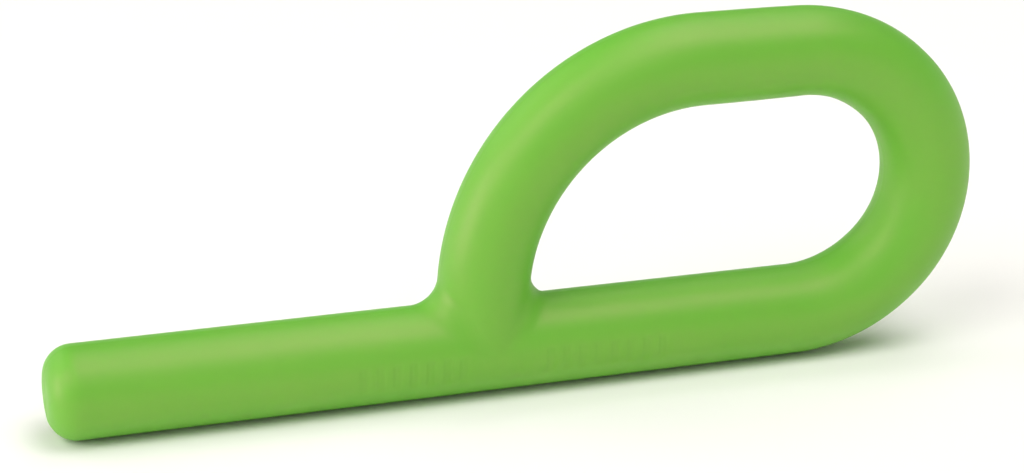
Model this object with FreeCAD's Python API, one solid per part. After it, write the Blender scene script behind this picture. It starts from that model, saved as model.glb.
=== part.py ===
import FreeCAD, Part
import math
import os

# Hand-held chew tool: one solid elastomer moulding, a straight round stem whose far part closes
# into a finger loop. Millimetres. It stands on its long edge: +X runs along the bar from the bite
# end to the loop, Y is the thickness, +Z is up. The origin is the middle of the bounding box's floor.

LENGTH = 130.7          # bite end to the outside of the loop
STEM_R = 6.38           # round bar, half of a nominal 12.7 mm tube
LOOP_R = 6.32           # the loop's tube is a hair thinner
LOOP_RISE = 37.4        # between the axes of the bar and of the loop's top
SHOULDER_R = 20.95      # loop end, axis radius of the two 45 degree shoulders
KNUCKLE_R = 30.85       # quarter turn from the loop's top down to the riser, on the axis
TOP_FLAT = 14.2         # straight length along the loop's top
FLOOR_LEN = 45.05       # riser axis to the start of the loop's end bend
END_ROUND = 3.8         # rounding of the bite end's edge
BLEND_STEM = 4.0        # blend between riser and stem, on the stem side
BLEND_LOOP = 3.5        # blend between riser and bar, inside the loop
STEM_END_GAP = 1.0      # the straight stem stops this far short of its blend

EIGHTH = math.pi / 4
QUARTER = math.pi / 2
HALF_SPLIT = 300.0      # side of the box that cuts the body at its mid-plane

# Nose arc between the shoulders, tangent to both.
SHOULDER_RUN = SHOULDER_R * math.sin(EIGHTH)
SHOULDER_LIFT = SHOULDER_R * (1 - math.cos(EIGHTH))
NOSE_R = (LOOP_RISE / 2 - SHOULDER_LIFT) / math.sin(EIGHTH)

# Places along the bar, with the bounding box centred on X = 0.
X_TIP = -LENGTH / 2
X_RIGHT = LENGTH / 2
X_NOSE = X_RIGHT - LOOP_R - NOSE_R
X_BEND = X_NOSE + NOSE_R * math.cos(EIGHTH) - SHOULDER_RUN
X_RISER = X_BEND - FLOOR_LEN
X_TOP = X_RISER + KNUCKLE_R
X_CONE = X_RISER - LOOP_R - BLEND_STEM - STEM_END_GAP
Z_BAR = STEM_R
Z_TOP = Z_BAR + LOOP_RISE
Z_KNUCKLE = Z_TOP - KNUCKLE_R

ALONG_X = FreeCAD.Vector(1, 0, 0)
ALONG_Y = FreeCAD.Vector(0, 1, 0)


def point(x, z):
    return FreeCAD.Vector(x, 0, z)


def arc(centre_x, centre_z, radius, start, end):
    """Arc in the mid-plane, angles in radians from +X towards +Z."""
    angles = (start, (start + end) / 2, end)
    on_arc = [point(centre_x + radius * math.cos(a), centre_z + radius * math.sin(a)) for a in angles]
    return Part.Arc(on_arc[0], on_arc[1], on_arc[2]).toShape()


def line(x0, z0, x1, z1):
    return Part.LineSegment(point(x0, z0), point(x1, z1)).toShape()


def make_bar():
    """Straight stem with its rounded bite end, then the bar that thins slightly under the loop."""
    stem = Part.makeCylinder(STEM_R, X_CONE - X_TIP, point(X_TIP, Z_BAR), ALONG_X)
    tip_edges = [e for e in stem.Edges if abs(e.BoundBox.XMax - X_TIP) < END_ROUND]
    stem = stem.makeFillet(END_ROUND, tip_edges)
    thinning = Part.makeCone(STEM_R, LOOP_R, X_BEND - X_CONE, point(X_CONE, Z_BAR), ALONG_X)
    return stem.fuse(thinning)


def make_loop():
    """Round tube swept from the bar's far end, around the loop and down into the bar."""
    z_shoulder = SHOULDER_R
    path = [
        arc(X_BEND, Z_BAR + z_shoulder, SHOULDER_R, -QUARTER, -EIGHTH),
        arc(X_NOSE, Z_BAR + LOOP_RISE / 2, NOSE_R, -EIGHTH, EIGHTH),
        arc(X_BEND, Z_TOP - z_shoulder, SHOULDER_R, EIGHTH, QUARTER),
        line(X_BEND, Z_TOP, X_TOP, Z_TOP),
        arc(X_TOP, Z_KNUCKLE, KNUCKLE_R, QUARTER, 2 * QUARTER),
        line(X_RISER, Z_KNUCKLE, X_RISER, Z_BAR),
    ]
    ring = Part.Circle(point(X_BEND, Z_BAR), ALONG_X, LOOP_R).toShape()
    return Part.Wire(path).makePipeShell([Part.Wire([ring])], True, False)


def blend_half(body):
    """Cut the body at the mid-plane and blend the riser into the bar, wider on the stem side."""
    corner = FreeCAD.Vector(-HALF_SPLIT / 2, 0, -HALF_SPLIT / 2)
    side = Part.makeBox(HALF_SPLIT, HALF_SPLIT, HALF_SPLIT, corner)
    half = body.common(side).removeSplitter().Solids[0]
    for edge in half.Edges:
        box = edge.BoundBox
        if type(edge.Curve) is Part.BSplineCurve and box.ZMin > Z_BAR and box.ZMax < Z_KNUCKLE:
            seam = edge
    starts_inside = seam.firstVertex(True).X > X_RISER
    if starts_inside:
        return half.makeFillet(BLEND_LOOP, BLEND_STEM, [seam])
    return half.makeFillet(BLEND_STEM, BLEND_LOOP, [seam])


def make_chew_tool():
    body = make_bar().fuse(make_loop()).removeSplitter()
    half = blend_half(body)
    whole = half.fuse(half.mirror(point(0, 0), ALONG_Y)).removeSplitter()
    return whole.Solids[0]


os.makedirs("parts", exist_ok=True)
make_chew_tool().exportStep("parts/chew_tool.step")
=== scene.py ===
import math

import bpy
import numpy as np
from mathutils import Matrix, Vector


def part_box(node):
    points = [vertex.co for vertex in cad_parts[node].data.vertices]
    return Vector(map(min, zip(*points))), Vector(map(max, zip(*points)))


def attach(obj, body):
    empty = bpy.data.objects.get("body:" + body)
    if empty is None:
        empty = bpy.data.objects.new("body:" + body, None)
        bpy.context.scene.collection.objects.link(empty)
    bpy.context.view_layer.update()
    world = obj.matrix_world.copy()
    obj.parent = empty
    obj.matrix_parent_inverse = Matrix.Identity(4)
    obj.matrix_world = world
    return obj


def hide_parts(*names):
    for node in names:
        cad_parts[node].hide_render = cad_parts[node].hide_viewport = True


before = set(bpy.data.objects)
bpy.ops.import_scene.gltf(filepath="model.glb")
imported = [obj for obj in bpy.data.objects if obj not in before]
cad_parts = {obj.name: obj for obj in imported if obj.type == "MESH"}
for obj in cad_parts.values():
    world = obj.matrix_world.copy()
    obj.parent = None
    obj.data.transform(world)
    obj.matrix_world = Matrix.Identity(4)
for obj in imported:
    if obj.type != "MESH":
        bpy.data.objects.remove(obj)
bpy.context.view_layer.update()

# ---------------------------------------------------------------------------------------------
# Chew tool. One injection moulding of soft, slightly see-through thermoplastic elastomer: a round
# bite stem whose far part turns back into a finger loop and lands on the bar in a soft blend.
# It leaves a two-part mould with a fine parting line round its mid-plane.
# ---------------------------------------------------------------------------------------------

MM = 0.001
EIGHTH, QUARTER = math.pi / 4, math.pi / 2   # turns, in radians

# Sizes, mm.
STEM_R = 6.38                    # half the bar's thickness
LOOP_R = 6.32                    # half the loop's thickness
SHOULDER_R = 20.95               # the two 45 degree shoulders of the loop's end
KNUCKLE_R = 30.85                # the quarter turn above the riser
TOP_FLAT = 14.2                  # straight length along the loop's top
FLOOR_LEN = 45.05                # riser to the loop's end bend
LOOP_RISE = 37.4                 # bar axis to the axis of the loop's top
END_ROUND = 3.8                  # rounding of the bite end
BLEND_STEM = 4.0                 # blend radius on the stem side of the riser
BLEND_LOOP = 3.5                 # blend radius inside the loop
STEM_END_GAP = 1.0               # the bar's taper starts this far before the blend
SHOULDER_THIN = 0.2              # how much the tube's radius shrinks round its upper shoulder
SHOULDER_SPREAD = 11.0           # along the tube, how far that thinning spreads
SKIN = 0.05                      # the skin lies this far under the crest of the parting line
CREST_HALF = 0.3                 # half the width of the parting line
RIB_SPANS = ((-25.5, -9.5), (0.5, 18.5))   # along the bar, two rows of shallow sunk ribs
RIB_PITCH = 2.3
RIB_WIDTH, RIB_HEIGHT = 1.15, 3.3          # along and round the bar
RIB_EDGE = 0.5                   # width of a rib's soft edges
RIB_DEPTH = 0.08
RIB_LEVEL = math.radians(-8)     # middle of the rows, below the horizontal through the bar's axis

box_low, box_high = (np.array(corner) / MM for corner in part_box("chew_tool"))
nose_r = (LOOP_RISE / 2 - SHOULDER_R * (1 - math.cos(EIGHTH))) / math.sin(EIGHTH)
x_bend = box_high[0] - LOOP_R - nose_r + (nose_r - SHOULDER_R) * math.cos(EIGHTH)
x_riser = x_bend - FLOOR_LEN
x_tip = box_low[0]
z_bar = STEM_R
z_knuckle = z_bar + LOOP_RISE - KNUCKLE_R
z_foot = z_bar + STEM_R
x_thin = x_riser - LOOP_R - BLEND_STEM - STEM_END_GAP


def bar_radius(x):
    """The bar's radius at x: STEM_R along the stem, then a straight taper to LOOP_R at the bend,
    and SKIN less than that all along."""
    return STEM_R + (LOOP_R - STEM_R) * np.clip((x - x_thin) / (x_bend - x_thin), 0, 1) - SKIN


def centreline(s):
    """Point and heading of the tube's axis at distances s along it, from the bite end round the loop
    and down the riser. Each run has one curvature k: a straight run moves s along its heading h, and
    an arc moves (sin(h + k s) - sin h, cos h - cos(h + k s)) / k. Returns x, z, the heading and the
    axis's whole length."""
    runs = np.array([
        (x_bend - x_tip, 0.0),
        (SHOULDER_R * EIGHTH, 1 / SHOULDER_R),
        (nose_r * QUARTER, 1 / nose_r),
        (SHOULDER_R * EIGHTH, 1 / SHOULDER_R),
        (TOP_FLAT, 0.0),
        (KNUCKLE_R * QUARTER, 1 / KNUCKLE_R),
        (z_knuckle - z_foot, 0.0),
    ])

    def advance(h, k, d):
        safe = np.where(k == 0, 1.0, k)
        dx = np.where(k == 0, np.cos(h) * d, (np.sin(h + k * d) - np.sin(h)) / safe)
        dz = np.where(k == 0, np.sin(h) * d, (np.cos(h) - np.cos(h + k * d)) / safe)
        return dx, dz

    length, bend = runs.T
    start = np.concatenate([[0.0], np.cumsum(length)])
    turned = np.concatenate([[0.0], np.cumsum(length * bend)])
    dx, dz = advance(turned[:-1], bend, length)
    x0 = x_tip + np.concatenate([[0.0], np.cumsum(dx)])
    z0 = z_bar + np.concatenate([[0.0], np.cumsum(dz)])
    run = np.clip(np.searchsorted(start, s, side="right") - 1, 0, len(length) - 1)
    dx, dz = advance(turned[run], bend[run], s - start[run])
    return x0[run] + dx, z0[run] + dz, turned[run] + bend[run] * (s - start[run]), start[-1]


FAR_OFF = 99.0                   # mm, further than the blend reaches


def blended(p):
    """Signed distance of points p to bar and riser with a rolling-ball blend, and its gradient.
    a and b are the distances to the two tubes, with unit gradients na and nb and c = na.nb. Where a
    ball of radius r touches both tubes, the surface is at r - sqrt((u2 - 2cuv + v2) / (1 - c2)), with
    u = r - a and v = r - b. Everywhere else it is the nearer tube. The tiny numbers only keep the
    divisions finite."""
    x, y, z = p.T
    up = z - z_bar
    axis_a = np.hypot(y, up)
    a = axis_a - bar_radius(x)
    na = np.stack([np.zeros_like(x), y, up], 1) / np.maximum(axis_a, 1e-9)[:, None]
    # Riser: the knuckle's arc above z_knuckle, a straight vertical axis below it.
    arc_x = x - (x_riser + KNUCKLE_R)
    arc_z = np.maximum(z - z_knuckle, 0.0)
    spread = np.hypot(arc_x, arc_z)
    off = KNUCKLE_R - spread
    axis_b = np.hypot(off, y)
    b = axis_b - (LOOP_R - SKIN)
    flat = np.stack([-arc_x / spread * off, y, -arc_z / spread * off], 1)
    nb = flat / np.maximum(axis_b, 1e-9)[:, None]
    # Below the bar's axis only the bar counts.
    b = np.where(up < 0, FAR_OFF, b)
    # The ball grows from BLEND_LOOP on the loop's side of the riser to BLEND_STEM on the stem's.
    side = np.clip((x - x_riser) / LOOP_R * 0.5 + 0.5, 0, 1)
    r = BLEND_STEM + (BLEND_LOOP - BLEND_STEM) * side
    u, v = r - a, r - b
    c = np.clip((na * nb).sum(1), -1, 1 - 1e-6)
    wa, wb = u - c * v, v - c * u
    q = np.sqrt(np.maximum(u * u - 2 * c * u * v + v * v, 1e-12) / (1 - c * c))
    ball = (wa > 0) & (wb > 0)
    near_bar = a < b
    f = np.where(ball, r - q, np.where(near_bar, a, b))
    blend_n = (wa[:, None] * na + wb[:, None] * nb) / (q * (1 - c * c))[:, None]
    n = np.where(ball[:, None], blend_n, np.where(near_bar[:, None], na, nb))
    return f, n / np.maximum(np.linalg.norm(n, axis=1), 1e-9)[:, None]


# Rings of the mesh.
AROUND = 128                     # points round the tube
STATION = 0.45                   # mm, spacing of the rings along the tube
FINE_STATION = 0.18              # mm, spacing where the bar carries its ribs
FINE_MARGIN = 1.0                # mm, how far the fine rings run past the ribs
FACE_RINGS = (0.0, 0.34, 0.67, 1.0)        # on the flat bite face, as shares of its radius
ROUND_RINGS = 14                 # on the rounding of the bite end


def ring_stations(foot_left, foot_right, angle):
    """Radii of the bite end's rings, and the distances along the tube of all rings in four runs: bite
    end, stem, bar under the riser, loop. The rounding's ring at turn t has the radius
    end_r + END_ROUND sin t and lies END_ROUND (1 - cos t) behind the face. Those under the riser lie
    at x_riser - r cos(angle)."""
    def evenly(low, high, step=STATION):
        return np.linspace(low, high, int(round((high - low) / step)) + 1)

    end_r = STEM_R - SKIN - END_ROUND
    face = [(end_r * share, 0.0) for share in FACE_RINGS]
    turn = np.linspace(0, QUARTER, ROUND_RINGS + 1)[1:]
    rounding = [(end_r + END_ROUND * math.sin(t), END_ROUND * (1 - math.cos(t))) for t in turn]
    end_radii, end = np.array(face + rounding).T
    end = end + SKIN
    fine_from = RIB_SPANS[0][0] - FINE_MARGIN - x_tip
    fine_to = RIB_SPANS[1][1] + FINE_MARGIN - x_tip
    whole = centreline(np.zeros(1))[3]
    stem = np.concatenate([
        evenly(end[-1], fine_from)[1:],
        evenly(fine_from, foot_left - x_tip, FINE_STATION)[1:-1],
    ])
    under = x_riser - (LOOP_R - SKIN) * np.cos(angle) - x_tip
    loop = np.concatenate([
        evenly(foot_right - x_tip, fine_to, FINE_STATION)[1:],
        evenly(fine_to, whole)[1:],
    ])
    return end_radii, (end, stem, under, loop)


def tool_grid():
    """Rings of points carried along the tube, and the quads between them.
    A ring at distance s is centre(s) + r (y, across) turned through the angle a, with a = 0 on the
    outside of the loop. The riser's last ring is also the edge of the opening it needs in the bar's
    top: ring stations under the riser lie at x_riser - r cos(a), so both have the same points."""
    half = AROUND // 2
    angle = 2 * math.pi * np.arange(AROUND) / AROUND
    rb = LOOP_R - SKIN
    end_radii, runs = ring_stations(x_riser - rb, x_riser + rb, angle[:half + 1])
    s = np.concatenate(runs)
    cx, cz, h, _ = centreline(s)
    r = np.where(s < x_bend - x_tip, bar_radius(cx), rb)
    # The middle of the upper shoulder is one and a half shoulders and the nose past the bend.
    upper = x_bend - x_tip + SHOULDER_R * EIGHTH * 1.5 + nose_r * QUARTER
    r = r - SHOULDER_THIN * np.exp(-(((s - upper) / SHOULDER_SPREAD) ** 2))
    r[:len(end_radii)] = end_radii
    across = -r[:, None] * np.cos(angle)
    y = -r[:, None] * np.sin(angle)
    p = np.stack([cx[:, None] - across * np.sin(h)[:, None], y,
                  cz[:, None] + across * np.cos(h)[:, None]], 2).reshape(-1, 3)
    ids = np.arange(len(p)).reshape(len(s), AROUND)
    i0 = len(runs[0]) + len(runs[1])
    foot = ids[-1]
    here, there = ids[:-1], ids[1:]
    quads = np.stack([here, there, np.roll(there, -1, 1), np.roll(here, -1, 1)], 2)
    # The first ring is one point. Under the riser the bar's top line splits: its front copy is the
    # foot ring's front half and its back copy the back half.
    top = ids[i0:i0 + half + 1, half].copy()
    swap = np.arange(len(p))
    swap[ids[0]] = ids[0, 0]
    swap[top[0]], swap[top[-1]] = foot[0], foot[half]
    front = swap.copy()
    front[top] = foot[:half + 1]
    back = swap.copy()
    back[top] = foot[-np.arange(half + 1)]
    mapped = swap[quads]
    mapped[i0:i0 + half, half - 1] = front[quads[i0:i0 + half, half - 1]]
    mapped[i0:i0 + half, half] = back[quads[i0:i0 + half, half]]
    # The bar's upper half under the riser starts on the riser's side where that is wider.
    under_ids = ids[i0:i0 + half + 1, half // 2:AROUND - half // 2 + 1]
    wide = rb * np.sin(angle[:half + 1])[:, None]
    flank = p[under_ids]
    flank[..., 1] = np.sign(flank[..., 1]) * np.maximum(np.abs(flank[..., 1]), wide)
    p[under_ids] = flank
    return p, mapped.reshape(-1, 4)


# Evening out of the points round the riser's foot.
SETTLE_STEPS = 260
SETTLE_SHARE = 0.7               # how much of the way to its neighbours' mean a point moves
SETTLE_REACH = 24.0              # mm from the foot where it ends
SETTLE_FADE = 8.0                # mm over which it fades out before that
SETTLE_LIFT = 0.8                # a distance in height counts this much of one along the bar
SETTLE_TOP = 2.6                 # stem radii above the bar's axis where it stops in any case


def settle(p, quads):
    """Evens out the points round the blend and puts them on it. Each step moves a point towards the
    mean of its neighbours and then, twice, along the gradient by minus the signed distance."""
    edges = np.concatenate([quads[:, [0, 1]], quads[:, [1, 2]], quads[:, [2, 3]], quads[:, [3, 0]]])
    edges = np.concatenate([edges, edges[:, ::-1]])
    away = np.hypot(p[:, 0] - x_riser, SETTLE_LIFT * (p[:, 2] - z_foot))
    weight = np.clip((SETTLE_REACH - away) / SETTLE_FADE, 0, 1)
    near = (weight > 0) & (p[:, 2] < z_bar + SETTLE_TOP * STEM_R)
    src, dst = edges[near[edges[:, 0]]].T
    count = np.maximum(np.bincount(src, minlength=len(p)), 1)[:, None]
    for step in range(SETTLE_STEPS):
        mean = np.stack([np.bincount(src, p[dst, k], len(p)) for k in range(3)], 1) / count
        move = p[near] + SETTLE_SHARE * weight[near, None] * (mean[near] - p[near])
        for _ in range(2):
            f, n = blended(move)
            move = move - f[:, None] * n
        p[near] = move
    return p


def normals_of(p, quads):
    """Unit normals at the points: the sum of the cross products of the diagonals of their quads."""
    a, b, c, d = (p[quads[:, k]] for k in range(4))
    face = np.cross(c - a, d - b)
    n = np.stack([np.bincount(quads.ravel(), np.repeat(face[:, k], 4), len(p)) for k in range(3)], 1)
    return n / np.maximum(np.linalg.norm(n, axis=1), 1e-12)[:, None]


def rise(value, width):
    """0 below -width / 2, 1 above width / 2 and a smooth step t t (3 - 2 t) between them."""
    t = np.clip(value / width + 0.5, 0, 1)
    return t * t * (3 - 2 * t)


def mould_marks(p):
    """Height of the skin's own relief at points p. The parting line is a crest of height SKIN on the
    mid-plane that falls to nothing at CREST_HALF to each side of it. A sunk rib is the product of two
    smooth plateaus, along and round the bar."""
    crest = SKIN * np.clip(1 - np.abs(p[:, 1]) / CREST_HALF, 0, 1)
    around = (np.arctan2(p[:, 2] - z_bar, -p[:, 1]) - RIB_LEVEL) * STEM_R
    front = (p[:, 1] < 0) & (p[:, 2] < z_bar + STEM_R)
    tall = rise(RIB_HEIGHT / 2 - np.abs(around), RIB_EDGE)
    wide = np.zeros(len(p))
    for low, high in RIB_SPANS:
        middles = np.arange(low + RIB_PITCH / 2, high, RIB_PITCH)
        gap = np.abs(p[:, 0, None] - middles).min(1)
        wide = np.maximum(wide, rise(RIB_WIDTH / 2 - gap, RIB_EDGE))
    return crest - RIB_DEPTH * tall * wide * front


points, quads = tool_grid()
points = settle(points, quads)
used = np.unique(quads)
compact = np.zeros(len(points), int)
compact[used] = np.arange(len(used))
points, quads = points[used], compact[quads]
points = points + mould_marks(points)[:, None] * normals_of(points, quads)

scene = bpy.context.scene
mesh = bpy.data.meshes.new("chew_tool_moulding")
tip_fan = quads[:AROUND, :3].tolist()
mesh.from_pydata((points * MM).tolist(), [], tip_fan + quads[AROUND:].tolist())
mesh.validate()
mesh.shade_smooth()
tool = bpy.data.objects.new("chew_tool_moulding", mesh)
scene.collection.objects.link(tool)


def linear(code):
    """Linear RGB of an sRGB hex colour."""
    c = np.array([int(code[i:i + 2], 16) for i in (1, 3, 5)]) / 255
    c = np.where(c <= 0.04045, c / 12.92, ((c + 0.055) / 1.055) ** 2.4)
    return (*c.tolist(), 1.0)


def node(tree, kind, settings=None, links=None):
    """Adds a shader node. settings are attributes or input values, links are input: output socket."""
    made = tree.nodes.new(kind)
    for key, value in (settings or {}).items():
        if key in made.inputs:
            made.inputs[key].default_value = value
        else:
            setattr(made, key, value)
    for key, socket in (links or {}).items():
        tree.links.new(socket, made.inputs[key])
    return made


# Thermoplastic elastomer, injection moulded in a fine-blasted mould and coloured right through: a
# satin skin with a broad, soft highlight, and light that goes a few millimetres in and comes out
# again, green further than red and blue. The melt leaves slightly paler clouds in it.
GREEN, PALE_GREEN = "#5FBB2A", "#6DBA35"
HIGHLIGHT_TINT = "#FF89BC"       # takes some of the green out of the skin's reflections
CLOUD = 14.0                     # mm, the clouds of the melt
PEEL_WIDTH, PEEL_HEIGHT = 1.8, 0.006       # mm, the skin's slow unevenness
BLAST_WIDTH, BLAST_HEIGHT = 0.35, 0.004    # mm, the mould's grain, drawn coarser so that it shows
SCATTER = 3.0                    # mm, how far green light goes in

elastomer = bpy.data.materials.new("green_thermoplastic_elastomer")
elastomer.use_nodes = True
tree = elastomer.node_tree
tree.nodes.clear()
on_tool = {"Vector": node(tree, "ShaderNodeTexCoord").outputs["Object"]}
clouds = node(tree, "ShaderNodeTexNoise",
              {"Scale": 1 / (CLOUD * MM), "Detail": 3.0, "Roughness": 0.55}, on_tool)
grain = node(tree, "ShaderNodeTexNoise", {"Scale": 1 / (BLAST_WIDTH * MM), "Detail": 2.0}, on_tool)
peel = node(tree, "ShaderNodeTexNoise", {"Scale": 1 / (PEEL_WIDTH * MM), "Detail": 1.0}, on_tool)
tint = node(tree, "ShaderNodeMix", {"data_type": "RGBA"}, {"Factor": clouds.outputs["Fac"]})
tint.inputs["A"].default_value = linear(GREEN)
tint.inputs["B"].default_value = linear(PALE_GREEN)
satin = node(tree, "ShaderNodeMapRange",
             {"To Min": 0.43, "To Max": 0.53}, {"Value": grain.outputs["Fac"]})
slow = node(tree, "ShaderNodeBump", {"Distance": PEEL_HEIGHT * MM}, {"Height": peel.outputs["Fac"]})
fine = node(tree, "ShaderNodeBump", {"Distance": BLAST_HEIGHT * MM},
            {"Height": grain.outputs["Fac"], "Normal": slow.outputs["Normal"]})
shader = node(tree, "ShaderNodeBsdfPrincipled", {
    "IOR": 1.54,
    "Specular IOR Level": 1.0,
    "Specular Tint": linear(HIGHLIGHT_TINT),
    "Subsurface Weight": 0.5,
    "Subsurface Radius": (0.8, 1.0, 0.3),
    "Subsurface Scale": SCATTER * MM,
}, {
    "Base Color": tint.outputs["Result"],
    "Roughness": satin.outputs["Result"],
    "Normal": fine.outputs["Normal"],
})
node(tree, "ShaderNodeOutputMaterial", links={"Surface": shader.outputs["BSDF"]})
mesh.materials.append(elastomer)

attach(tool, "root")
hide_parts("chew_tool")

# ---------------------------------------------------------------------------------------------
# Studio. The tool stands on one sheet of matt white paper. Seven round soft boxes light it, and the
# walls round it are bright near the horizon and dim overhead, where the boxes do the work.
# ---------------------------------------------------------------------------------------------

SHEET = 1.6                      # m, half the side of the paper
LAMP_REACH, LAMP_SIZE = 2.4, 1.47          # m, distance of the soft boxes and their diameter
AIM = Vector((0, 0, 0.02))       # m, the point that they face
LAMPS = (
    # name, azimuth and height in degrees, power in watts
    ("left_low", 180, 12, 23.0),
    ("left_high", 212, 46, 19.5),
    ("top_right", 315, 64, 19.8),
    ("front_fill", 270, 38, 4.5),
    ("top_back", 45, 64, 10.0),
    ("back_left", 135, 38, 8.5),
    ("overhead", 0, 88, 5.7),
)

sheet_mesh = bpy.data.meshes.new("floor")
corners = [(-SHEET, -SHEET, 0), (SHEET, -SHEET, 0), (SHEET, SHEET, 0), (-SHEET, SHEET, 0)]
sheet_mesh.from_pydata(corners, [], [(0, 1, 2, 3)])
sheet = bpy.data.objects.new("floor", sheet_mesh)
scene.collection.objects.link(sheet)
paper = bpy.data.materials.new("matt_white_paper")
paper.use_nodes = True
paper_inputs = paper.node_tree.nodes["Principled BSDF"].inputs
paper_inputs["Base Color"].default_value = linear("#FDFAF5")
paper_inputs["Roughness"].default_value = 0.9
paper_inputs["Specular IOR Level"].default_value = 0.1
sheet_mesh.materials.append(paper)

world = bpy.data.worlds.new("studio")
scene.world = world
world.use_nodes = True
sky = world.node_tree
heading = node(sky, "ShaderNodeTexCoord").outputs["Generated"]
steepness = node(sky, "ShaderNodeSeparateXYZ", links={"Vector": heading}).outputs["Z"]
walls = node(sky, "ShaderNodeMapRange", {
    "interpolation_type": "SMOOTHSTEP",
    "From Min": 0.08,
    "From Max": 0.3,
    "To Min": 0.9,
    "To Max": 0.16,
}, {"Value": steepness})
backdrop = sky.nodes["Background"]
backdrop.inputs["Color"].default_value = linear("#FFFFFF")
sky.links.new(walls.outputs["Result"], backdrop.inputs["Strength"])

for name, azimuth, height, power in LAMPS:
    turn, lift = math.radians(azimuth), math.radians(height)
    away = Vector((math.cos(lift) * math.cos(turn), math.cos(lift) * math.sin(turn), math.sin(lift)))
    place = AIM + LAMP_REACH * away
    facing = (AIM - place).to_track_quat("-Z", "Y")
    data = bpy.data.lights.new(name, "AREA")
    data.shape = "DISK"
    data.size = LAMP_SIZE
    data.energy = power
    lamp = bpy.data.objects.new(name, data)
    scene.collection.objects.link(lamp)
    lamp.matrix_world = Matrix.Translation(place) @ facing.to_matrix().to_4x4()

# The camera looks along +Y, turned towards +X by CAMERA_YAW and down by CAMERA_DROP.
CAMERA_PLACE = Vector((-0.10429, -0.31476, 0.13403))   # m
CAMERA_YAW, CAMERA_DROP = math.radians(18.01), math.radians(18.80)

camera_data = bpy.data.cameras.new("camera")
camera_data.lens = 91.56
camera_data.sensor_width = 36.0
camera_data.clip_start = 0.01
camera = bpy.data.objects.new("camera", camera_data)
scene.collection.objects.link(camera)
look = Vector((math.sin(CAMERA_YAW) * math.cos(CAMERA_DROP),
               math.cos(CAMERA_YAW) * math.cos(CAMERA_DROP),
               -math.sin(CAMERA_DROP)))
right = Vector((math.cos(CAMERA_YAW), -math.sin(CAMERA_YAW), 0))
turned = Matrix((right, right.cross(look), -look)).transposed()
camera.matrix_world = Matrix.Translation(CAMERA_PLACE) @ turned.to_4x4()
scene.camera = camera
scene.view_settings.view_transform = "Standard"
